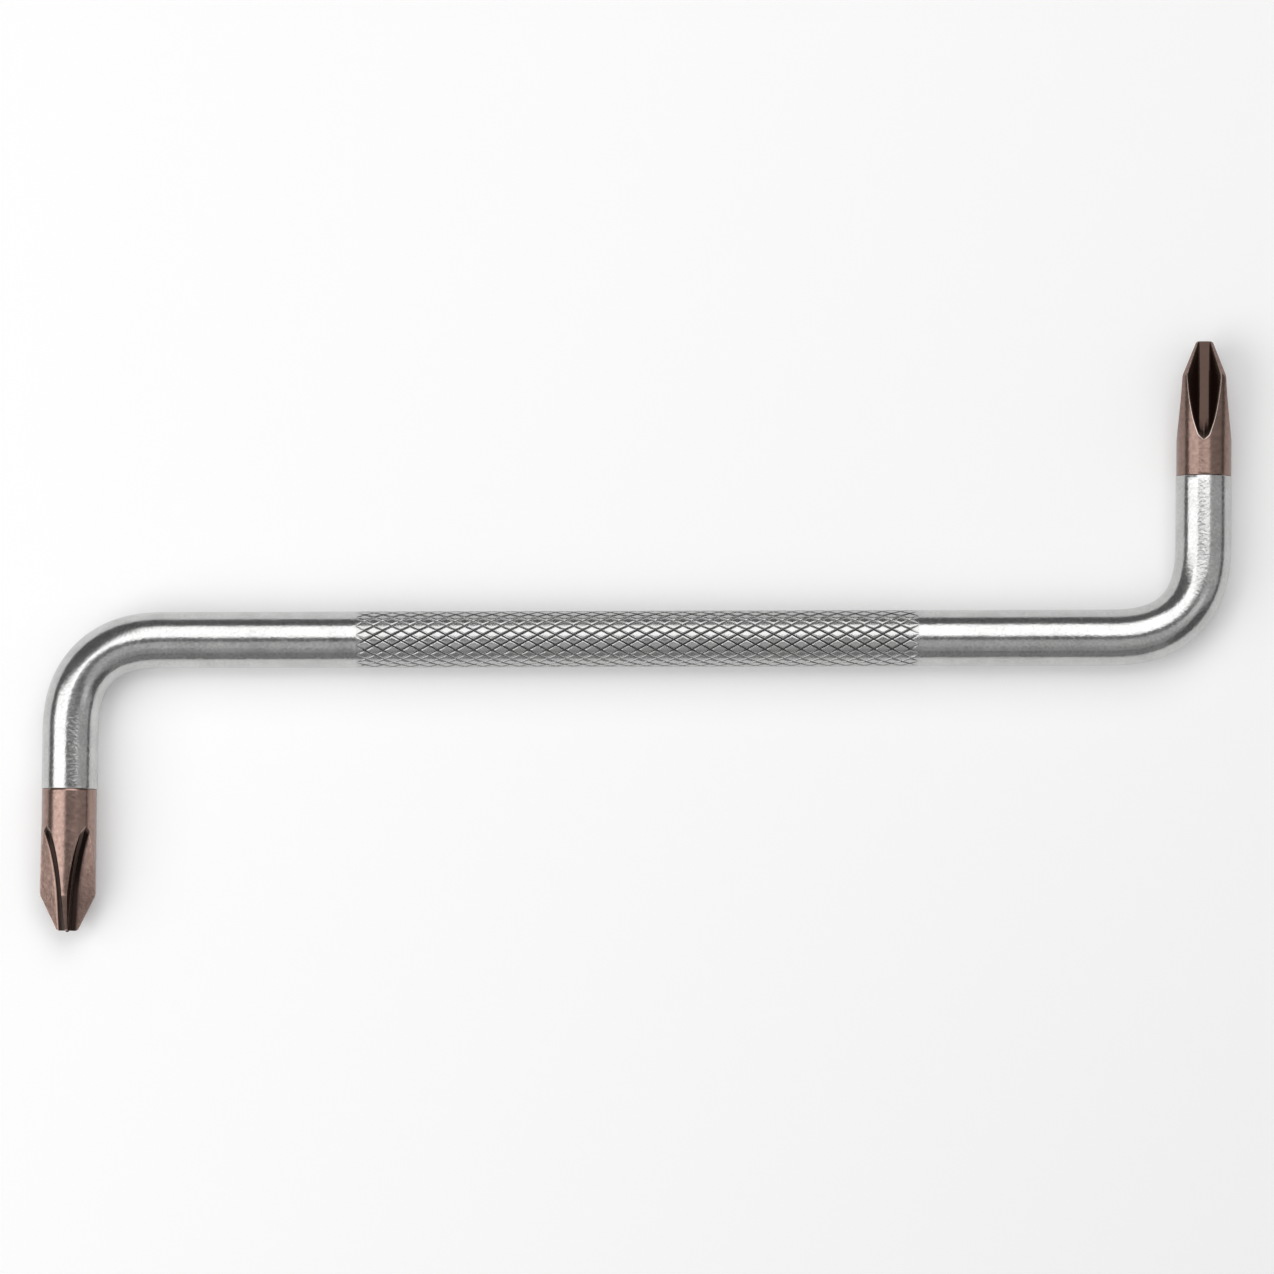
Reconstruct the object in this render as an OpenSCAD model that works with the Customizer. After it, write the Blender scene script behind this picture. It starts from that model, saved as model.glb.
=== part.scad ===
// Offset screwdriver: a round steel bar with an arm bent down at its left end and an arm bent
// up at its right end, a knurled grip in the middle, and a browned cross tip on each arm.
// The tool lies flat: +X runs along the bar, the upper tip points to +Y and the lower one to -Y.
// The origin is under the middle of the tool, on the surface that it lies on.

/* [Bar] */
// Diameter of the round bar
bar_d = 6; // [4.5:0.1:9]
// Length along the bar between the corners where its axis meets the arms' axes
bar_len = 120.8; // [84:0.2:200]
// Radius of both bends, at the bar's axis
bend_r = 8.2; // [5:0.1:14]
// Angle that each arm is bent through
bend_angle = 89.2; // [75:0.1:100]

/* [Knurled grip] */
// Length of the knurled grip, which sits in the middle of the bar
grip_len = 60; // [24:1:100]
// Number of grooves that wind round the grip each way
knurl_starts = 17; // [10:1:18]
// Angle of the grooves to the bar's axis
knurl_angle = 30; // [25:1:45]
// Depth of the grooves
knurl_depth = 0.12; // [0.04:0.01:0.3]
// Width of a groove at the surface
knurl_w = 0.26; // [0.1:0.01:0.4]
// Length over which the grooves run out at each end of the grip
knurl_fade = 1; // [0.5:0.1:8]

/* [Arms] */
// Height from the bar's axis to the end of the lower tip
lower_reach = 31; // [27:0.1:60]
// Length of the browned tip on the lower arm
lower_tip_len = 15.1; // [12.5:0.1:18]
// Height from the bar's axis to the end of the upper tip
upper_reach = 31.7; // [27:0.1:60]
// Length of the browned tip on the upper arm
upper_tip_len = 14.5; // [12.5:0.1:18]
// Turn of a wing of the lower tip from straight up, towards the outer side
lower_turn = 3; // [-45:1:45]
// Turn of a wing of the upper tip from straight up, towards the outer side
upper_turn = 40; // [-45:1:45]

/* [Cross tips] */
// How much thinner a browned tip is than the plated bar, on the diameter
tip_step = 0.1; // [0.02:0.02:0.6]
// How much the wings swell towards the point, on the diameter
wing_swell = 0.08; // [0.02:0.02:0.2]
// How far behind the flutes the swelling starts
swell_lead = 0.4; // [0.2:0.1:1]
// Diameter across the flat end of a point
point_d = 2.2; // [1.6:0.1:3]
// Angle of the point's cone to its axis
point_angle = 26.5; // [22:0.5:32]
// Height of the chamfer round the flat end
point_chamfer = 0.15; // [0.05:0.05:0.4]
// Distance from the axis to the floor of a flute at the flat end
core_r = 0.66; // [0.5:0.02:0.9]
// Width of a flute's floor
floor_w = 1.15; // [0.6:0.05:1.3]
// Angle between the two halves of a flute's floor
floor_angle = 140; // [120:1:170]
// Angle between a flute's two side walls
flute_angle = 92; // [80:1:96]
// Slope of a flute's floor to the axis
flute_slope = 4.6; // [2:0.1:8]
// Length from the flat end over which a flute runs straight
flute_straight = 3; // [1:0.1:5]
// Radius of the wheel that grinds a flute's run-out
wheel_r = 23; // [12:0.5:30]
// Diameter of the cut-off pip on the lower tip's end
pip_d = 0.45; // [0.2:0.05:0.8]
// Height of the cut-off pip
pip_h = 0.14; // [0.05:0.01:0.4]

/* [Hidden] */
$fn = 96;

// How far a cut runs past the surface that it cuts
overrun = 0.5;
// Width of the pip's flat top as a share of its foot
pip_top_share = 0.5;

// Bar and arms
bar_r = bar_d / 2;
bend_run = bend_r * tan(bend_angle / 2);
plain_len = bar_len / 2 - bend_run - grip_len / 2;
bend_x = bar_len / 2 - bend_run;
axis_y = (lower_reach - upper_reach) / 2;

// Knurl: half a pitch round the bar is one row, half a pitch along it is one column
rows = 2 * knurl_starts;
row_angle = 360 / rows;
row_arc = PI * bar_d / rows;
cols = round(grip_len * tan(knurl_angle) / row_arc);
col_len = grip_len / cols;
land_share = 1 - knurl_w / 2 * norm([row_arc, col_len]) / (row_arc * col_len);
crossings = (cols + 1) * knurl_starts;
full_lands = (cols - 1) * knurl_starts;

// Cross tips
tip_r = bar_r - tip_step / 2;
wing_r = tip_r + wing_swell / 2;
point_r = point_d / 2;
point_len = (wing_r - point_r) / tan(point_angle);
floor_rise = floor_w / 2 / tan(floor_angle / 2);
floor_end_r = core_r + flute_straight * tan(flute_slope);
wheel_x = floor_end_r + wheel_r * cos(flute_slope);
wheel_z = flute_straight - wheel_r * sin(flute_slope);
wheel_exit = acos((wheel_x - tip_r - overrun) / wheel_r);
flute_len = wheel_z + sqrt(wheel_r * wheel_r - (wheel_x - tip_r) * (wheel_x - tip_r));
swell_end = flute_len + swell_lead;
wheel_rim = tip_r + overrun;
wheel_w = floor_w / 2 + (wheel_rim - floor_rise) * tan(flute_angle / 2);

// Length of an arm's plated straight, from the end of the bend to the browned tip
function shank_len(reach, tip_len) = reach / sin(bend_angle) - bend_run - tip_len;

// Share of the full groove depth at one column
function depth_share(j) = min(1, min(j, cols - j) * col_len / knurl_fade);

// A point of the grip from its column, its row and its radius
function grip_point(j, i, r) =
    [j * col_len - grip_len / 2, r * cos(i * row_angle), r * sin(i * row_angle)];

// Corners of one diamond land, in the order left, front, right and back
function land_points(j, i) = [
    grip_point(j - land_share, i, bar_r),
    grip_point(j, i - land_share, bar_r),
    grip_point(j + land_share, i, bar_r),
    grip_point(j, i + land_share, bar_r)
];

// Corners of a half land on an end face: front, tip, back and middle
function half_land_points(j, i, side) = [
    grip_point(j, i - land_share, bar_r),
    grip_point(j + side * land_share, i, bar_r),
    grip_point(j, i + land_share, bar_r),
    grip_point(j, i, bar_r)
];

// Row of the land, and of the groove crossing, that has number k in column j
function land_row(j, k) = 2 * k + (j + 1) % 2;
function crossing_row(j, k) = 2 * k + j % 2;

// Place in the list of points of the groove crossing at one column and row
function crossing(j, i) = j * knurl_starts + floor(((i + rows) % rows) / 2);

// Places in the list of points of a full land's corners, and of a half land's
function land(j, k) = [for (n = [0 : 3]) crossings + 4 * ((j - 1) * knurl_starts + k) + n];
function half_land(last, k) = [for (n = [0 : 3]) crossings + 4 * (full_lands + last * knurl_starts + k) + n];

// A four-cornered face as two triangles
function split(a, b, c, d) = [[a, b, c], [a, c, d]];

// The ten triangles of a full land and its four groove walls
function land_faces(j, k) = let (
    i = land_row(j, k), p = land(j, k),
    left = crossing(j - 1, i), right = crossing(j + 1, i),
    front = crossing(j, i - 1), back = crossing(j, i + 1)
) concat(
    [[p[0], p[1], p[2]], [p[0], p[2], p[3]]],
    split(left, front, p[1], p[0]),
    split(front, right, p[2], p[1]),
    split(right, back, p[3], p[2]),
    split(back, left, p[0], p[3])
);

// The faces of a half land at the first column
function first_faces(k) = let (
    i = land_row(0, k), p = half_land(0, k),
    right = crossing(1, i), front = crossing(0, i - 1), back = crossing(0, i + 1)
) concat(
    [[p[0], p[1], p[3]], [p[3], p[1], p[2]]],
    split(front, right, p[1], p[0]),
    split(right, back, p[2], p[1])
);

// The faces of a half land at the last column
function last_faces(k) = let (
    i = land_row(cols, k), p = half_land(1, k),
    left = crossing(cols - 1, i), front = crossing(cols, i - 1), back = crossing(cols, i + 1)
) concat(
    [[p[1], p[0], p[3]], [p[1], p[3], p[2]]],
    split(left, front, p[0], p[1]),
    split(back, left, p[1], p[2])
);

// The rim of an end face, in the order of the rows
function rim(j, last) = [
    for (k = [0 : knurl_starts - 1])
        let (p = half_land(last, k), before = crossing(j, land_row(j, k) - 1))
            each [before, p[0], p[3], p[2]]
];

function reversed(list) = [for (n = [len(list) - 1 : -1 : 0]) list[n]];

// Stands a piece on the surface, with the bar's axis along X
module lay_flat() {
    translate([0, axis_y, bar_r]) children();
}

// Knurled grip: flat diamond lands between V grooves, which run out at both ends
module knurled_grip() {
    points = concat(
        [for (j = [0 : cols], k = [0 : knurl_starts - 1])
            grip_point(j, crossing_row(j, k), bar_r - knurl_depth * depth_share(j))],
        [for (j = [1 : cols - 1], k = [0 : knurl_starts - 1]) each land_points(j, land_row(j, k))],
        [for (k = [0 : knurl_starts - 1]) each half_land_points(0, land_row(0, k), 1)],
        [for (k = [0 : knurl_starts - 1]) each half_land_points(cols, land_row(cols, k), -1)]
    );
    faces = concat(
        [for (j = [1 : cols - 1], k = [0 : knurl_starts - 1]) each land_faces(j, k)],
        [for (k = [0 : knurl_starts - 1]) each first_faces(k)],
        [for (k = [0 : knurl_starts - 1]) each last_faces(k)],
        [rim(0, 0)],
        [reversed(rim(cols, 1))]
    );
    color("silver") lay_flat() polyhedron(points, faces);
}

// The middle of the bend's circle, over the bar
module at_bend() {
    translate([bend_x, bend_r, 0]) children();
}

// The end of the bend, with Z out along the arm
module at_bend_end() {
    at_bend() rotate([0, 0, bend_angle - 90]) translate([bend_r, 0, 0]) rotate([-90, 0, 0]) children();
}

// Elbow: the plain end of the bar beside the grip, and the bend
module elbow() {
    at_bend() {
        translate([0, -bend_r, 0]) rotate([0, -90, 0]) cylinder(d = bar_d, h = plain_len);
        rotate([0, 0, -90]) rotate_extrude(angle = bend_angle) translate([bend_r, 0]) circle(d = bar_d);
    }
}

// Shank: the plated straight of an arm
module shank(reach, tip_len) {
    at_bend_end() cylinder(d = bar_d, h = shank_len(reach, tip_len));
}

// Turns a piece of the upper arm round the middle of the bar, to make the lower arm's
module turned_over() {
    rotate([0, 0, 180]) children();
}

module lower_elbow() {
    color("silver") lay_flat() turned_over() elbow();
}

module lower_shank() {
    color("silver") lay_flat() turned_over() shank(lower_reach, lower_tip_len);
}

module upper_elbow() {
    color("silver") lay_flat() elbow();
}

module upper_shank() {
    color("silver") lay_flat() shank(upper_reach, upper_tip_len);
}

// Cross section of the grinding wheel's rim, out from the wheel's axis
module wheel_outline() {
    polygon([
        [wheel_r, 0],
        [wheel_r - floor_rise, floor_w / 2],
        [wheel_r - wheel_rim, wheel_w],
        [wheel_r - wheel_rim, -wheel_w],
        [wheel_r - floor_rise, -floor_w / 2]
    ]);
}

// One flute: a straight stretch from the flat end, then the wheel's round run-out
module flute() {
    straight_len = (flute_straight + overrun) / cos(flute_slope);
    translate([wheel_x, 0, wheel_z]) rotate([90, 0, 0]) rotate([0, 0, 180 - flute_slope]) {
        mirror([0, 1, 0]) rotate_extrude(angle = wheel_exit - flute_slope) wheel_outline();
        rotate([90, 0, 0]) translate([0, 0, -straight_len]) linear_extrude(straight_len) wheel_outline();
    }
}

// Cross tip: the flat end at the origin, the body up the Z axis, the wings along X and Y
module cross_tip(tip_len) {
    difference() {
        rotate_extrude() polygon([
            [0, 0],
            [point_r - point_chamfer, 0],
            [point_r + point_chamfer * tan(point_angle), point_chamfer],
            [wing_r, point_len],
            [tip_r, swell_end],
            [tip_r, tip_len],
            [0, tip_len]
        ]);
        for (quarter = [0 : 3]) rotate([0, 0, 45 + quarter * 90]) flute();
    }
}

// Puts a cross tip on the end of its shank, with one wing turned from straight up
module on_shank(reach, tip_len, turn) {
    at_bend_end()
        translate([0, 0, shank_len(reach, tip_len)])
            translate([0, 0, tip_len])
                rotate([180, 0, 90 + turn]) children();
}

// The lower tip keeps the small pip that cutting off left in the middle of its end
module lower_tip() {
    color("rosybrown") lay_flat() turned_over() on_shank(lower_reach, lower_tip_len, lower_turn) {
        cross_tip(lower_tip_len);
        translate([0, 0, -pip_h]) cylinder(d1 = pip_d * pip_top_share, d2 = pip_d, h = pip_h);
    }
}

module upper_tip() {
    color("rosybrown")
        lay_flat() on_shank(upper_reach, upper_tip_len, upper_turn) cross_tip(upper_tip_len);
}

knurled_grip();
lower_elbow();
lower_shank();
lower_tip();
upper_elbow();
upper_shank();
upper_tip();
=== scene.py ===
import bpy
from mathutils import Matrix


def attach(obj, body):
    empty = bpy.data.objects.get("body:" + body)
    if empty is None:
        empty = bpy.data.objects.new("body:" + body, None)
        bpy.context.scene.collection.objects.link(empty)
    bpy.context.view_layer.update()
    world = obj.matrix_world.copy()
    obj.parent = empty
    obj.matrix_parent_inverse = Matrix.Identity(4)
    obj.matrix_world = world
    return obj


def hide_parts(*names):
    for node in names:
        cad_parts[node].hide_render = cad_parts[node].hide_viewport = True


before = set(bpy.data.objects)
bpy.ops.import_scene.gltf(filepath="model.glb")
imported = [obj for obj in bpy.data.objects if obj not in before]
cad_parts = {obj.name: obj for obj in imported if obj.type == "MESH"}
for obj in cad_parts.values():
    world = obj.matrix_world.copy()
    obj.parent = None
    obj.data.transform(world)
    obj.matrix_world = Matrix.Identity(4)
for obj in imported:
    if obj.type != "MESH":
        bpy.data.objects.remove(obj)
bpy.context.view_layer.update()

import math

import bpy
import numpy as np
from mathutils import Matrix, Vector


# Plated bar ends: the round steel bar on either side of the grip, tumbled, cold bent over a former
# and satin chrome plated as far as the browned tip. The lower arm is the upper one turned half
# round about the middle of the bar, and a little shorter. Sizes are in millimetres.

BAR_R = 3.0
BAR_Y = -0.35                        # place of the bar's axis: the two arms differ in length
GRIP_HALF = 30.0
CORNER_X = 60.4                      # where the bar's axis and the arm's would meet
BEND_ANGLE = math.radians(89.2)
BEND_LEN = 18.0                      # length of the bend along the bar's middle
BEND_THINNING = 0.035                # share by which the bar is pressed thinner half way round
PLATE_EDGE = 0.07                    # size of the plate's rounded rim next to the browned tip
RIM_BACK = PLATE_EDGE * np.array([1.0, 0.6, 0.3, 0.1, 0.0])
RIM_INSET = PLATE_EDGE * np.array([0.0, 0.08, 0.3, 0.6, 1.0])
RINGS_PLAIN, RINGS_BEND, RINGS_STRAIGHT = 30, 96, 12
POINTS_ROUND_BAR = 128
METRES = 0.001

# "plated" is the distance from the corner to the end of the plate.
ARMS = {"lower": {"side": -1, "plated": 15.903},
        "upper": {"side": 1, "plated": 17.203}}


def eased_bend():
    """The bend's middle line in 2000 steps: length along it, place, and angle turned. A bar
    pressed over a former bends most in the middle and eases off to both sides, so its curvature
    follows half a sine wave: the angle is BEND_ANGLE / 2 * (1 - cos(pi * s / BEND_LEN)), and the
    place is the sum of all steps so far, each in the direction that the bar has there."""
    s = np.linspace(0, BEND_LEN, 2001)
    turn = BEND_ANGLE / 2 * (1 - np.cos(math.pi * s / BEND_LEN))
    way = np.stack([np.cos(turn), np.sin(turn), 0 * turn], -1)
    steps = (way[1:] + way[:-1]) / 2 * (s[1] - s[0])
    return s, np.concatenate([np.zeros((1, 3)), np.cumsum(steps, 0)]), turn


BEND_S, BEND_PLACE, BEND_TURN = eased_bend()
RUN_UP = BEND_PLACE[-1, 0] - BEND_PLACE[-1, 1] / math.tan(BEND_ANGLE)    # bend's start to corner
PLAIN = CORNER_X - RUN_UP - GRIP_HALF                                   # plain bar beside the grip


def path_along_arm(s):
    """The bar's middle line on the upper side: straight from the grip's end, round the bend, then
    straight up the arm. s is the length from the grip's end. Gives the place, the direction, and
    the share of the turn that is done."""
    bent = np.clip(s - PLAIN, 0, BEND_LEN)
    turn = np.interp(bent, BEND_S, BEND_TURN)
    before = np.minimum(s, PLAIN)
    after = np.maximum(s - PLAIN - BEND_LEN, 0)
    way = np.stack([np.cos(turn), np.sin(turn), 0 * turn], -1)
    place = np.stack([np.interp(bent, BEND_S, BEND_PLACE[:, 0]) + GRIP_HALF + before,
                      np.interp(bent, BEND_S, BEND_PLACE[:, 1]), 0 * turn], -1)
    return place + after[..., None] * way, way, turn / BEND_ANGLE


def on_side(points, side):
    """Puts points given round the bar's middle line where they belong: x and y times side, which
    turns a shape half round for the lower arm, and then the bar is laid on the table."""
    return points * np.array([side, side, 1.0]) + np.array([0.0, BAR_Y, BAR_R])


def closed_skin(name, rings, diagonals=None, creases=None):
    """A closed surface from a grid of rings, rows along the piece and columns round it: each row
    joins the next, each ring closes on itself, and the first and last rings close on their middle
    points. The faces are turned round if the signed volume, the sum of p . (q x r) over all
    triangles, comes out negative. diagonals says for each quad which way it is cut in two. An edge
    between two points marked in creases is shaded crisp, and so are the rims of both ends."""
    rows, cols = rings.shape[:2]
    points = np.concatenate([rings.reshape(-1, 3), rings[:1].mean(1), rings[-1:].mean(1)])
    i, j = np.meshgrid(np.arange(rows - 1), np.arange(cols), indexing="ij")
    k = (j + 1) % cols
    a, b, c, d = i * cols + j, i * cols + k, (i + 1) * cols + k, (i + 1) * cols + j
    cut = np.zeros_like(a, bool) if diagonals is None else diagonals
    first = np.where(cut[..., None], np.stack([a, b, d], -1), np.stack([a, b, c], -1))
    second = np.where(cut[..., None], np.stack([b, c, d], -1), np.stack([a, c, d], -1))
    ring = np.arange(cols)
    ahead = (ring + 1) % cols
    last = (rows - 1) * cols
    start_cap = np.stack([ahead, ring, 0 * ring + rows * cols], -1)
    end_cap = np.stack([last + ring, last + ahead, 0 * ring + rows * cols + 1], -1)
    tris = np.concatenate([first.reshape(-1, 3), second.reshape(-1, 3), start_cap, end_cap])
    p, q, r = (points[tris[:, n]] for n in range(3))
    if np.einsum("ij,ij->i", p, np.cross(q, r)).sum() < 0:
        tris = tris[:, ::-1]
    mesh = bpy.data.meshes.new(name)
    mesh.vertices.add(len(points))
    mesh.vertices.foreach_set("co", (points * METRES).astype(np.float32).ravel())
    mesh.loops.add(tris.size)
    mesh.loops.foreach_set("vertex_index", tris.astype(np.int32).ravel())
    mesh.polygons.add(len(tris))
    mesh.polygons.foreach_set("loop_start", np.arange(0, tris.size, 3, dtype=np.int32))
    mesh.polygons.foreach_set("use_smooth", np.ones(len(tris), bool))
    mesh.update(calc_edges=True)
    mesh.validate()
    marked = np.zeros((rows, cols), bool) if creases is None else creases.copy()
    marked[[0, -1]] = True
    marked = np.append(marked.ravel(), [False, False])
    edges = np.empty(2 * len(mesh.edges), np.int32)
    mesh.edges.foreach_get("vertices", edges)
    sharp = mesh.attributes.new("sharp_edge", "BOOLEAN", "EDGE")
    sharp.data.foreach_set("value", marked[edges.reshape(-1, 2)].all(1))
    piece = bpy.data.objects.new(name, mesh)
    bpy.context.scene.collection.objects.link(piece)
    return piece


def linear(hex_colour):
    """sRGB hex to linear light, with full opacity: a straight line for the darkest values, and a
    power of 2.4 over it."""
    parts = [int(hex_colour[n:n + 2], 16) / 255 for n in (1, 3, 5)]
    return [v / 12.92 if v <= 0.04045 else ((v + 0.055) / 1.055) ** 2.4 for v in parts] + [1.0]


def new_material(name):
    """An empty node material and its node tree."""
    material = bpy.data.materials.new(name)
    material.use_nodes = True
    material.node_tree.nodes.clear()
    return material, material.node_tree


def add(tree, kind, links=(), inputs=(), **settings):
    """Adds one node with its settings, its input values and its incoming links. links holds pairs
    of an output socket and an input, and an input is given by its name or its number."""
    node = tree.nodes.new(kind)
    for key, value in settings.items():
        setattr(node, key, value)
    for key, value in dict(inputs).items():
        node.inputs[key].default_value = value
    for source, key in links:
        tree.links.new(source, node.inputs[key])
    return node


def satin_chrome():
    """Satin chrome plate on drawn and tumbled bar: bright hard metal with a fine pearly grain, so
    highlights are soft edged and speckled. The real grain is well under 0.1 mm and wouldn't show,
    so it is drawn 0.28 mm wide (3600 to the metre), and the cloudiness in it 2.4 mm (420)."""
    material, tree = new_material("satin_chrome_plate")
    place = add(tree, "ShaderNodeTexCoord").outputs["Object"]
    grain = add(tree, "ShaderNodeTexNoise", [(place, "Vector")],
                {"Scale": 3600.0, "Detail": 1.0, "Roughness": 0.6}).outputs["Fac"]
    cloud = add(tree, "ShaderNodeTexNoise", [(place, "Vector")],
                {"Scale": 420.0, "Detail": 3.0, "Roughness": 0.55}).outputs["Fac"]
    both = add(tree, "ShaderNodeMath", [(grain, 0), (cloud, 1)], operation="ADD")
    fleck = add(tree, "ShaderNodeMapRange", [(both.outputs[0], "Value")],
                {"From Min": 0.7, "From Max": 1.3})
    tint = add(tree, "ShaderNodeMix", [(fleck.outputs[0], "Factor")],
               {6: linear("#B4B4B3"), 7: linear("#CACAC9")}, data_type="RGBA")
    gloss = add(tree, "ShaderNodeMapRange", [(grain, "Value")], {"To Min": 0.16, "To Max": 0.24})
    bump = add(tree, "ShaderNodeBump", [(grain, "Height")],
               {"Strength": 0.6, "Distance": 0.02 * METRES})
    shader = add(tree, "ShaderNodeBsdfPrincipled",
                 [(tint.outputs[2], "Base Color"), (gloss.outputs[0], "Roughness"),
                  (bump.outputs[0], "Normal")], {"Metallic": 1.0})
    add(tree, "ShaderNodeOutputMaterial", [(shader.outputs[0], "Surface")])
    return material


plate = satin_chrome()
for arm, sizes in ARMS.items():
    straight = sizes["plated"] - RUN_UP
    length = PLAIN + BEND_LEN + straight
    s = np.concatenate([np.linspace(0, PLAIN, RINGS_PLAIN, endpoint=False),
                        PLAIN + np.linspace(0, BEND_LEN, RINGS_BEND, endpoint=False),
                        PLAIN + BEND_LEN + np.linspace(0, straight - PLATE_EDGE, RINGS_STRAIGHT,
                                                       endpoint=False),
                        length - RIM_BACK])
    radius = np.full(len(s), BAR_R)
    radius[-len(RIM_INSET):] -= RIM_INSET
    middle, way, turned = path_along_arm(s)
    inward = np.stack([-way[:, 1], way[:, 0], 0 * s], -1)
    theta = np.linspace(0, 2 * math.pi, POINTS_ROUND_BAR, endpoint=False)
    in_plane = radius * (1 - BEND_THINNING * np.sin(math.pi * turned) ** 2)
    rings = (middle[:, None] + inward[:, None] * (in_plane[:, None] * np.cos(theta))[..., None]
             + np.array([0, 0, 1.0]) * (radius[:, None] * np.sin(theta))[..., None])
    piece = closed_skin(arm + "_plated_bar", on_side(rings, sizes["side"]))
    piece.data.materials.append(plate)
    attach(piece, "root")
    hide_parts(arm + "_elbow", arm + "_shank")


# Knurled grip: two crossing sets of grooves rolled into the middle of the bar before plating, 17
# starts each way. They leave flat diamond lands and run out over a millimetre at both ends.

KNURL_STARTS = 17
KNURL_COLUMNS = 62                   # half diamonds along the grip
KNURL_DEPTH = 0.13
KNURL_FADE = 1.0                     # length over which the grooves run out
CUTS_PER_CELL = 6                    # mesh steps in half a diamond, each 0.08 mm across a groove
GROOVE_PROFILE = [1.0, 0.32, 0.0]    # share of the depth on a groove's line, 1 cut and 2 cuts away
CRISP_FROM = 0.05                    # edges with at least this share of the depth are crisp


def groove_depth(column, row):
    """How deep the surface lies, from 0 on a land to 1 on a groove's line. The lines of one set
    are where column minus row is even, and those of the other where column plus row is. Each
    groove is steep near its line and shallower next to the lands, as GROOVE_PROFILE says, and
    where two grooves cross the deeper one counts."""
    deepest = np.zeros_like(column)
    for across in (column - row, column + row):
        away = np.abs((across + 1) % 2 - 1) * CUTS_PER_CELL
        deepest = np.maximum(deepest, np.interp(away, [0, 1, 2], GROOVE_PROFILE))
    return deepest


def knurled_chrome():
    """Satin chrome plate on the rolled knurl. The grooves are painted dark grey, a painted shade
    down in them, and the lands keep the plate's colour. The grain, far finer in truth, is drawn
    0.22 mm wide (4600 to the metre)."""
    material, tree = new_material("knurled_chrome_plate")
    place = add(tree, "ShaderNodeTexCoord").outputs["Object"]
    depth = add(tree, "ShaderNodeAttribute", attribute_name="groove")
    grain = add(tree, "ShaderNodeTexNoise", [(place, "Vector")],
                {"Scale": 4600.0, "Detail": 2.0, "Roughness": 0.6}).outputs["Fac"]
    # Painted shade: the deeper a groove, the darker grey it is painted
    tint = add(tree, "ShaderNodeMix", [(depth.outputs["Fac"], "Factor")],
               {6: linear("#BABAB9"), 7: linear("#666666")}, data_type="RGBA")
    gloss = add(tree, "ShaderNodeMapRange", [(grain, "Value")], {"To Min": 0.18, "To Max": 0.32})
    bump = add(tree, "ShaderNodeBump", [(grain, "Height")],
               {"Strength": 0.45, "Distance": 0.03 * METRES})
    shader = add(tree, "ShaderNodeBsdfPrincipled",
                 [(tint.outputs[2], "Base Color"), (gloss.outputs[0], "Roughness"),
                  (bump.outputs[0], "Normal")], {"Metallic": 1.0})
    add(tree, "ShaderNodeOutputMaterial", [(shader.outputs[0], "Surface")])
    return material


def mark_points(piece, name, values):
    """Stores one number per point of a closed skin, with 0 at its two end points."""
    attribute = piece.data.attributes.new(name, "FLOAT", "POINT")
    attribute.data.foreach_set("value", np.append(values.ravel(), [0, 0]).astype(np.float32))


cells_round = 2 * KNURL_STARTS
column = np.arange(KNURL_COLUMNS * CUTS_PER_CELL + 1)[:, None] / CUTS_PER_CELL
row = np.arange(cells_round * CUTS_PER_CELL)[None] / CUTS_PER_CELL
x = -GRIP_HALF + column * 2 * GRIP_HALF / KNURL_COLUMNS + 0 * row
fade = np.clip((GRIP_HALF - np.abs(x)) / KNURL_FADE, 0, 1)
groove = groove_depth(column + 0 * row, row + 0 * column) * fade
radius = BAR_R - KNURL_DEPTH * groove
theta = (row + 0 * column) * 2 * math.pi / cells_round
rings = np.stack([x, radius * np.cos(theta), radius * np.sin(theta)], -1)
cell = (np.floor(column[:-1]) + np.floor(row)).astype(int)
grip = closed_skin("knurled_grip_skin", on_side(rings, 1), cell % 2 == 1, groove > CRISP_FROM)
# The groove depth also sets the painted shade in the grooves
mark_points(grip, "groove", groove)
grip.data.materials.append(knurled_chrome())
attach(grip, "root")
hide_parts("knurled_grip")


# Cross tips: the hardened ends of the bar, with a cone, a flat end, and four flutes ground by a
# wheel that runs out in an arc. They are browned and have no plate. The lower one keeps the little
# pip that cutting off left in the middle of its end.

TIP_R = 2.95
WING_R = 2.99                        # the wings stand out a little over the neck
SWELL_END = 11.2                     # where the wings have narrowed to the neck
POINT_R = 1.1
POINT_TAN = math.tan(math.radians(26.5))
POINT_LEN = (WING_R - POINT_R) / POINT_TAN
POINT_CHAMFER = 0.15
SHOULDER_LOW, SHOULDER_HIGH = 0.16, 0.25     # rounding below and above the cone's outer edge
SHOULDER_INSET, WING_INSET = 0.028, 0.004    # how far the rounding is inside the wings' radius
BROKEN_EDGE = 0.06                   # chamfer of the neck next to the plate
CORE_R = 0.70                        # half the thickness between two flutes at the flat end
FLOOR_HALF = 0.575
WALL_TAN = math.tan(math.radians(46))
FLAT_RISE, POINTED_RISE = 0.05, 0.15         # the flute floor's V, on the straight and run out
POINTED_FROM, POINTED_AT = 8.4, 10.2
SLOPE = math.radians(4.6)
STRAIGHT = 3.0                       # length of the floor's straight part
WHEEL_R = 23.0
WHEEL_X = CORE_R + STRAIGHT * math.tan(SLOPE) + WHEEL_R * math.cos(SLOPE)
WHEEL_Z = STRAIGHT - WHEEL_R * math.sin(SLOPE)
LEAST_EDGE = 0.03                    # half a flute's width where it has run out
RUN_OUT_LOW, RUN_OUT_HIGH = 9.6, 11.0        # the flutes run out between these heights
BLUNTING_ROUNDS = 3
PIP_R = np.array([0.02, 0.08, 0.115, 0.15, 0.19, 0.225, 0.26, 0.34])
PIP_SHARE = np.array([1.0, 1.0, 0.94, 0.7, 0.35, 0.06, 0.0, 0.0])
COLUMNS = 78                         # points in one flute and one wing
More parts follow.
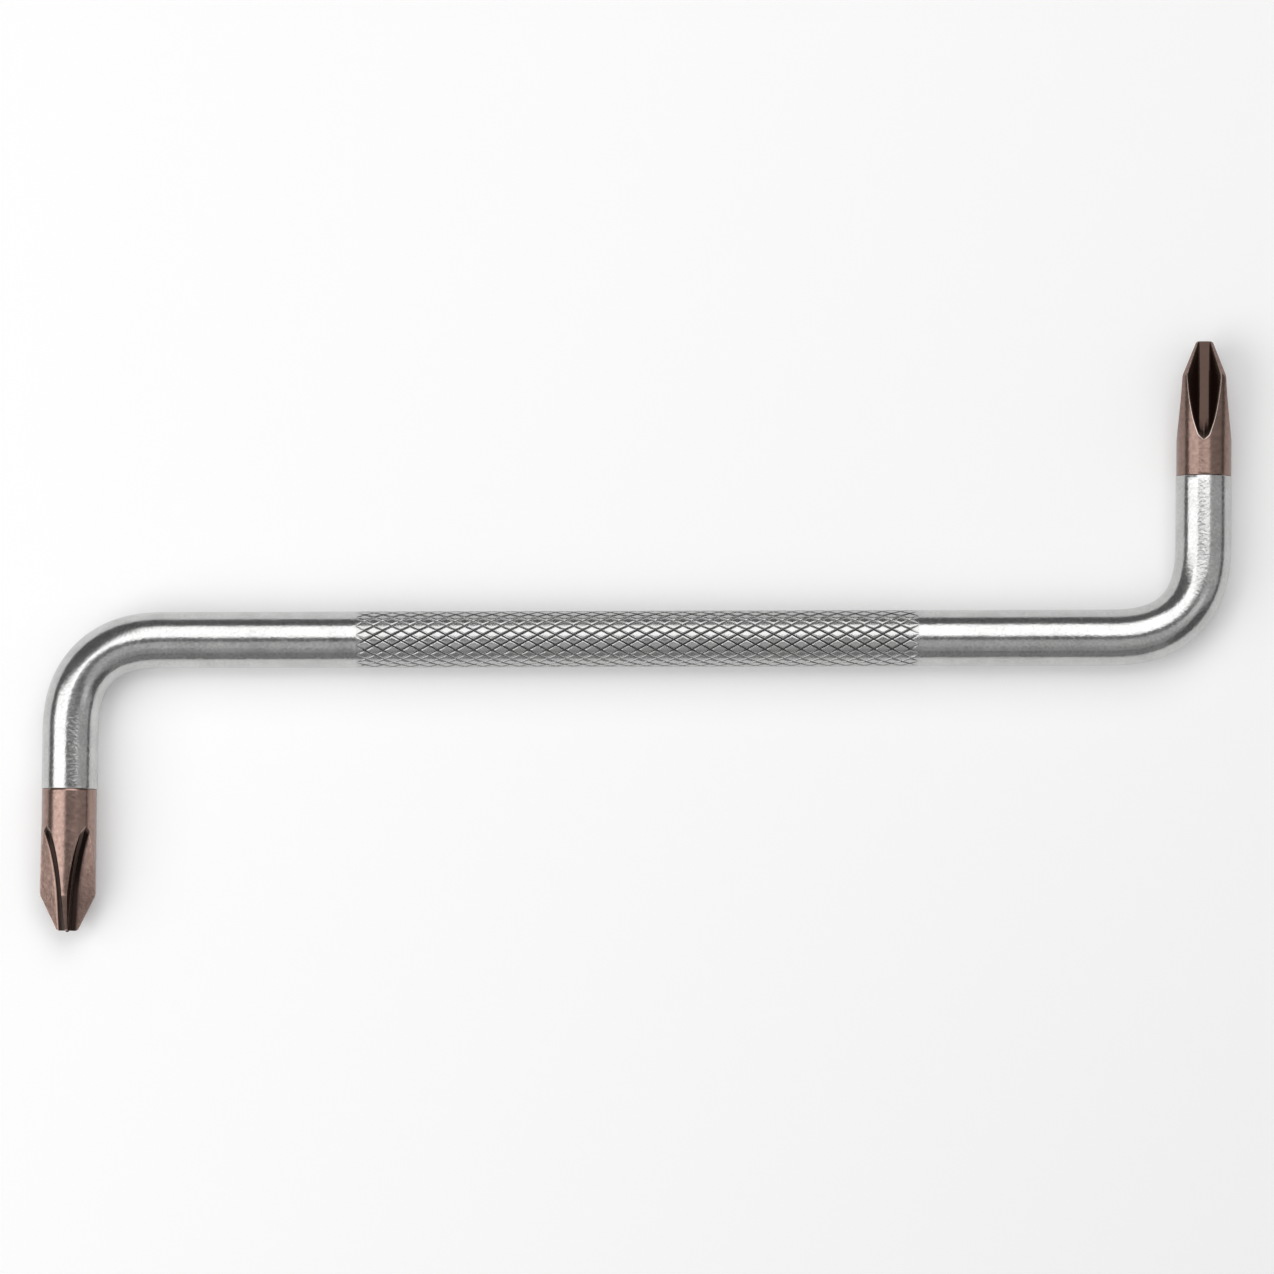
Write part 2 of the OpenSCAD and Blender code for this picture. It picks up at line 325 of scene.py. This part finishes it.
# Points that carry the painted highlight along the flutes' edges
EDGE_HIGHLIGHT_COLUMNS = (0, 1, 2, 50, 51, 52, 53, 54, 76, 77)    # those on and beside a flute's two edges

PAINTED_SHADE_FROM, PAINTED_SHADE_FADE = 0.03, 0.2   # the painted shade deepens from this depth on, over this much
FLOOR_FADE = 0.12                    # width over which the walls' painted shade turns into the floor's

# "browned" is the tip's length, "turn" how far it is turned about its axis, "longer" how much
# further up its flutes are cut, and "pip" the pip's height. The key after "pip" holds the share of
# painted shade, a dark brown, on the bare skin, on the flutes' walls and on their floors, which
# also darkens the whole upper tip. The last key says how bright the painted highlight along the
# flutes' edges is.
TIPS = {"lower": {"browned": 15.1, "turn": 3.0, "longer": 0.35, "pip": 0.14,
                  "painted_shade": (0.1, 0.28, 1.0), "painted_edge_highlight": 0.1},
        "upper": {"browned": 14.5, "turn": 40.0, "longer": 0.0, "pip": 0.0,
                  "painted_shade": (0.28, 1.0, 0.95), "painted_edge_highlight": 0.7}}


def body_radius(z, length):
    """The ground body's radius at a height z over the flat end, in straight lines: a chamfer, the
    cone, a rounded shoulder, wings that narrow to the neck, and a broken edge at the plate."""
    heights = [0, POINT_CHAMFER, POINT_LEN - SHOULDER_LOW, POINT_LEN, POINT_LEN + SHOULDER_HIGH,
               SWELL_END, length - BROKEN_EDGE, length]
    radii = [POINT_R - POINT_CHAMFER, POINT_R + POINT_CHAMFER * POINT_TAN,
             WING_R - SHOULDER_LOW * POINT_TAN, WING_R - SHOULDER_INSET,
             WING_R - WING_INSET, TIP_R, TIP_R, TIP_R - BROKEN_EDGE]
    return np.interp(z, heights, radii)


def flute_floor(q, z):
    """Distance of the flute's surface from the tip's axis, at q to the side of its middle and z
    over the flat end. The wheel's rim is an almost flat V with steep flanks, and cuts a steeper V
    where it runs out, so the flute ends in a point. Along the tip its outline rises in a straight
    line, and then in a circle of the wheel's radius, less what the rim has fallen away."""
    off = np.abs(q)
    rise = np.interp(z, [POINTED_FROM, POINTED_AT], [FLAT_RISE, POINTED_RISE])
    over = np.where(off < FLOOR_HALF, off * rise / FLOOR_HALF,
                    rise + (off - FLOOR_HALF) / WALL_TAN)
    straight = CORE_R + z * math.tan(SLOPE) + over / math.cos(SLOPE)
    rim = np.maximum(WHEEL_R - over, 0.1)
    arc = WHEEL_X - np.sqrt(np.maximum(rim ** 2 - (z - WHEEL_Z) ** 2, 0))
    return np.where(z < STRAIGHT, straight, arc)


def flute_edge(z, body):
    """How far to the side of a flute's middle its edge lies, found by halving the range in which
    the flute's surface crosses the body's circle. It is never quite nothing."""
    low, high = np.zeros_like(z), body * 0.999
    for _ in range(40):
        q = (low + high) / 2
        inside = flute_floor(q, z) ** 2 + q ** 2 < body ** 2
        low, high = np.where(inside, q, low), np.where(inside, high, q)
    return np.maximum(low, LEAST_EDGE)


def tip_rings(length, longer):
    """Cross sections of the tip from its flat end to the plate. Each has four flutes and four
    wings, worked out as angle and radius. A flute's points lie at the shares in across of the way
    to its edges, and a wing's at the wing's middle plus its half angle times the sine of equal
    steps from -90 to 90 degrees, so both lie closer together at the edges. The edges are then
    blunted by averaging each point with its neighbours, which hardly moves those further in."""
    z = np.unique(np.concatenate([
        np.linspace(0, POINT_CHAMFER, 4),
        np.linspace(POINT_CHAMFER, POINT_LEN - SHOULDER_LOW, 34),
        np.linspace(POINT_LEN - SHOULDER_LOW, POINT_LEN + SHOULDER_HIGH, 8),
        np.linspace(POINT_LEN + SHOULDER_HIGH, RUN_OUT_LOW, 70),
        np.linspace(RUN_OUT_LOW, RUN_OUT_HIGH, 40),
        np.linspace(RUN_OUT_HIGH, length - BROKEN_EDGE, 20),
        length - BROKEN_EDGE * np.array([1.0, 0.5, 0.0])]))[:, None]
    body = body_radius(z, length)
    edge = flute_edge(z - longer, body)
    closer = 0.5 * np.linspace(0, 1, 14, endpoint=False) ** 1.5
    across = np.concatenate([-1 + closer, np.linspace(-0.5, 0.5, 25), (1 - closer)[::-1]])
    q = edge * across
    p = np.minimum(flute_floor(q, z - longer), np.sqrt(np.maximum(body ** 2 - q ** 2, 1e-9)))
    wing_half = math.pi / 4 - np.arcsin(np.clip(edge / body, 0, 1))
    ease = np.sin(np.linspace(-math.pi / 2, math.pi / 2, 27))[1:-1]
    wing_angle = math.pi / 2 + wing_half * ease
    angle = np.concatenate([np.arctan2(q, p) + math.pi / 4, wing_angle], 1)
    radius = np.concatenate([np.hypot(p, q), body + 0 * wing_angle], 1)
    angle = np.concatenate([angle + n * math.pi / 2 for n in range(4)], 1)
    radius = np.concatenate([radius] * 4, 1)
    flat = np.stack([radius * np.cos(angle), radius * np.sin(angle)], -1)
    for _ in range(BLUNTING_ROUNDS):
        flat = 0.5 * flat + 0.25 * (np.roll(flat, 1, 1) + np.roll(flat, -1, 1))
    return np.concatenate([flat, (z + 0 * radius)[..., None]], -1)


def flat_end(rim, pip):
    """Rings that close the flat end from its middle to the rim: circles near the middle, with a
    pip of the height pip standing out over them, then in equal steps ever more like the rim."""
    way = rim[:, :2] / np.hypot(rim[:, 0], rim[:, 1])[:, None]
    heights = pip * PIP_SHARE
    inner = np.concatenate([PIP_R[:, None, None] * way[None],
                            -heights[:, None, None] + 0 * way[None, :, :1]], -1)
    share = np.linspace(0, 1, 6)[1:-1, None, None]
    outer = inner[-1][None] * (1 - share) + rim[None] * share
    return np.concatenate([inner, outer])


def browned_steel():
    """Hardened steel browned by heat and oil: warm mottled brown oxide on a metal that still
    shines. Painted shade, a dark brown, lies in the flutes and over the whole upper tip, and a
    painted highlight, a light line, lies along the flutes' edges. The real mottling and grain are
    finer than the render shows, so they are drawn 0.53 and 0.36 mm wide (1900 and 2800 to the
    metre)."""
    material, tree = new_material("browned_tool_steel")
    place = add(tree, "ShaderNodeTexCoord").outputs["Object"]
    depth = add(tree, "ShaderNodeAttribute", attribute_name="flute").outputs["Fac"]
    painted_edge_highlight = add(tree, "ShaderNodeAttribute", attribute_name="painted_edge_highlight").outputs["Fac"]
    cloud = add(tree, "ShaderNodeTexNoise", [(place, "Vector")],
                {"Scale": 1900.0, "Detail": 3.0, "Roughness": 0.7})
    mottle = add(tree, "ShaderNodeMapRange", [(cloud.outputs["Fac"], "Value")],
                 {"From Min": 0.25, "From Max": 0.75})
    skin = add(tree, "ShaderNodeMix", [(mottle.outputs[0], "Factor")],
               {6: linear("#8D756C"), 7: linear("#AD9288")}, data_type="RGBA")
    # Painted shade: dark brown in the flutes, and over the whole upper tip
    skin_with_painted_shade = add(tree, "ShaderNodeMix", [(depth, "Factor"), (skin.outputs[2], 6)],
                  {7: linear("#3F322D")}, data_type="RGBA")
    # Painted highlight: a light line along the flutes' edges
    tint = add(tree, "ShaderNodeMix", [(painted_edge_highlight, "Factor"), (skin_with_painted_shade.outputs[2], 6)],
               {7: linear("#D2C2BC")}, data_type="RGBA")
    gloss = add(tree, "ShaderNodeMapRange", [(depth, "Value")], {"To Min": 0.25, "To Max": 0.2})
    grain = add(tree, "ShaderNodeTexNoise", [(place, "Vector")],
                {"Scale": 2800.0, "Detail": 1.0, "Roughness": 0.6})
    bump = add(tree, "ShaderNodeBump", [(grain.outputs["Fac"], "Height")],
               {"Strength": 0.35, "Distance": 0.03 * METRES})
    shader = add(tree, "ShaderNodeBsdfPrincipled",
                 [(tint.outputs[2], "Base Color"), (gloss.outputs[0], "Roughness"),
                  (bump.outputs[0], "Normal")], {"Metallic": 1.0})
    add(tree, "ShaderNodeOutputMaterial", [(shader.outputs[0], "Surface")])
    return material


browning = browned_steel()
for arm, sizes in TIPS.items():
    # The flat end, then the body. x and y lie across the tip, and height is over its flat end.
    rings = tip_rings(sizes["browned"], sizes["longer"])
    rings = np.concatenate([flat_end(rings[0], sizes["pip"]), rings])
    x, y, height = rings[..., 0], rings[..., 1], rings[..., 2]

    # The flat end is the arm's far end, and the body runs back from there to the plate.
    end = PLAIN + BEND_LEN - RUN_UP + ARMS[arm]["plated"] + sizes["browned"]
    middle, way, _ = path_along_arm(np.array(end))
    outward = np.array([way[1], -way[0], 0])
    up = np.array([0, 0, 1.0])
    turn = math.radians(sizes["turn"])
    sideways = x * math.sin(turn) + y * math.cos(turn)
    upwards = x * math.cos(turn) - y * math.sin(turn)
    placed = (middle - way * height[..., None] + outward * sideways[..., None]
              + up * upwards[..., None])
    piece = closed_skin(arm + "_cross_tip", on_side(placed, ARMS[arm]["side"]))

    # depth is measured from the ground body's round surface, and off is how far a point lies to
    # the side of its flute's middle.
    bare, walls, floor = sizes["painted_shade"]
    depth = body_radius(height, sizes["browned"]) - np.hypot(x, y)
    off = np.abs(np.abs(x) - np.abs(y)) / math.sqrt(2)
    in_flute = np.clip((depth - PAINTED_SHADE_FROM) / PAINTED_SHADE_FADE, 0, 1)
    on_floor = np.clip((FLOOR_HALF + FLOOR_FADE / 2 - off) / FLOOR_FADE, 0, 1)
    # The flute attribute holds the painted shade: deeper in the flutes, and over the whole upper
    # tip
    mark_points(piece, "flute", bare + in_flute * (walls - bare + on_floor * (floor - walls)))

    # A painted highlight, a light line, lies along the flutes' edges from the chamfer to where the
    # flute runs out.
    ring_height = height[:, :1]
    edge = flute_edge(ring_height - sizes["longer"], body_radius(ring_height, sizes["browned"]))
    highlighted_edges = (np.isin(np.arange(rings.shape[1]) % COLUMNS, EDGE_HIGHLIGHT_COLUMNS)
              & (edge > LEAST_EDGE + 0.02) & (height > POINT_CHAMFER))
    mark_points(piece, "painted_edge_highlight", highlighted_edges * sizes["painted_edge_highlight"])
    piece.data.materials.append(browning)
    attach(piece, "root")
    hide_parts(arm + "_tip")


# Table: matt white paper under the whole tool. It is lifted to the white of the background where
# the camera sees it, and where metal or glass shows it, and adds no light on matt surfaces.

TABLE_HALF = 2.0                     # metres
PAPER_LIFT = 0.11

corners = [(-TABLE_HALF, -TABLE_HALF, 0), (TABLE_HALF, -TABLE_HALF, 0),
           (TABLE_HALF, TABLE_HALF, 0), (-TABLE_HALF, TABLE_HALF, 0)]
table = bpy.data.objects.new("pale_table", bpy.data.meshes.new("pale_table"))
table.data.from_pydata(corners, [], [(0, 1, 2, 3)])
bpy.context.scene.collection.objects.link(table)
paper, tree = new_material("pale_table_paper")
rays = add(tree, "ShaderNodeLightPath").outputs
seen = add(tree, "ShaderNodeMath", [(rays["Is Camera Ray"], 0), (rays["Is Glossy Ray"], 1)],
           operation="ADD")
seen = add(tree, "ShaderNodeMath", [(seen.outputs[0], 0), (rays["Is Transmission Ray"], 1)],
           operation="MAXIMUM")
lift = add(tree, "ShaderNodeMath", [(seen.outputs[0], 0)], {1: PAPER_LIFT}, operation="MULTIPLY")
shader = add(tree, "ShaderNodeBsdfPrincipled", [(lift.outputs[0], "Emission Strength")],
             {"Base Color": linear("#FAFAFA"), "Roughness": 0.9, "Specular IOR Level": 0.0,
              "Emission Color": linear("#FFFFFF")})
add(tree, "ShaderNodeOutputMaterial", [(shader.outputs[0], "Surface")])
table.data.materials.append(paper)


# Lamps: two bright soft boxes, one on the upper side and one on the left, give the long white
# highlights. Dimmer cards on the other sides give the greys between them, in a grey studio.

def soft_box(name, place, aim, width, depth, glow, turn=0.0):
    """A soft box, in mm and degrees: the middle of its cloth, the point that it faces, its width
    and depth, how bright its cloth is, where 1 is white, and how far it is turned about its own
    middle. A lamp's power is its brightness times its area times pi."""
    lamp = bpy.data.lights.new(name, "AREA")
    lamp.shape = "RECTANGLE"
    lamp.size, lamp.size_y = width * METRES, depth * METRES
    lamp.energy = glow * math.pi * lamp.size * lamp.size_y
    stand = bpy.data.objects.new(name, lamp)
    bpy.context.scene.collection.objects.link(stand)
    facing = (Vector(aim) - Vector(place)).to_track_quat("-Z", "Y").to_matrix()
    facing = facing @ Matrix.Rotation(math.radians(turn), 3, "Z")
    stand.matrix_world = Matrix.Translation(Vector(place) * METRES) @ facing.to_4x4()


soft_box("upper_soft_box", (38, 288, 400), (38, 288, 0), 400, 500, 1.9, -6)
soft_box("left_soft_box", (-304, -104, 293), (-61, -104, 3), 432, 359, 1.9)
soft_box("lower_card", (0, -203, 400), (0, -203, 0), 900, 250, 0.45)
soft_box("far_card", (0, -515, 400), (0, -515, 0), 900, 357, 0.28)
soft_box("front_card", (0, -900, 260), (0, 0, 3), 1200, 340, 0.16)
soft_box("right_card", (394, 0, 308), (0, 0, 0), 350, 460, 0.38)

world = bpy.data.worlds.new("studio")
bpy.context.scene.world = world
world.use_nodes = True
world.node_tree.nodes["Background"].inputs["Color"].default_value = linear("#656565")
bpy.context.scene.view_settings.view_transform = "Standard"


# Camera: it looks down on the tool through a long lens, a little from the side of the lower arm.
# At 700 mm the lens takes in a frame 136 mm wide.

CAMERA_DISTANCE = 700.0
CAMERA_ELEVATION = math.radians(86.5)
CAMERA_ROLL = math.radians(-0.15)
CAMERA_AIM = Vector((-0.045, -0.153, BAR_R))

camera = bpy.data.objects.new("camera", bpy.data.cameras.new("camera"))
bpy.context.scene.collection.objects.link(camera)
lens_at = CAMERA_AIM + CAMERA_DISTANCE * Vector((0, -math.cos(CAMERA_ELEVATION),
                                                 math.sin(CAMERA_ELEVATION)))
facing = (CAMERA_AIM - lens_at).to_track_quat("-Z", "Y").to_matrix()
facing = facing @ Matrix.Rotation(CAMERA_ROLL, 3, "Z")
camera.matrix_world = Matrix.Translation(lens_at * METRES) @ facing.to_4x4()
camera.data.sensor_width = 36.0
camera.data.lens = 185.14
camera.data.clip_end = 10.0
bpy.context.scene.camera = camera
